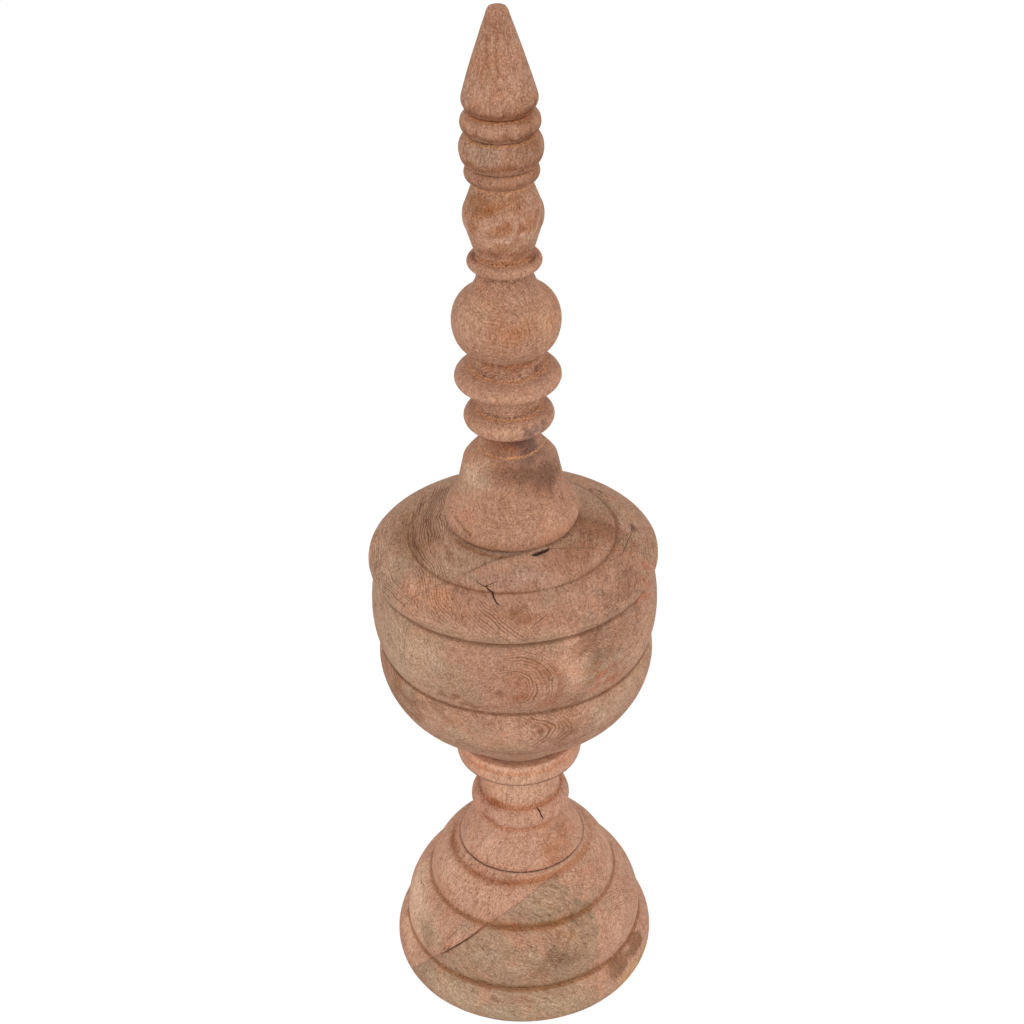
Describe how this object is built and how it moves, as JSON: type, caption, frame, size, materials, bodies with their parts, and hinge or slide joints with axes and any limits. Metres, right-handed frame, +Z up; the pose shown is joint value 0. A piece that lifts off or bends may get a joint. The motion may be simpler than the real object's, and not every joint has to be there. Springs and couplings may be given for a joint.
{
  "type": "turned wood finial",
  "caption": "Tall turned wood finial: a ringed spire with a ball and bell over a banded urn, on a waisted stem and a stepped round foot that stands by itself.",
  "frame": {"origin": "on the turning axis, in the plane of the flat underside of the foot, where the finial stands", "axes": "+Z up along the turning axis to the tip of the spike; -Y faces the side that is seen, +X to its right"},
  "size_m": [0.1712, 0.1712, 0.65],
  "materials": {
    "foot_wood": "raw turned hardwood, glued up from blocks, matt, unsealed",
    "stem_wood": "raw turned hardwood, salmon pink, matt, unsealed",
    "urn_wood": "raw turned hardwood, glued up from blocks, matt, unsealed, with checks",
    "spire_wood": "raw turned hardwood, fine open pores, matt, unsealed"
  },
  "bodies": {
    "root": {"foot": "foot_wood", "stem": "stem_wood", "urn_body": "urn_wood", "spire": "spire_wood"}
  },
  "joints": []
}
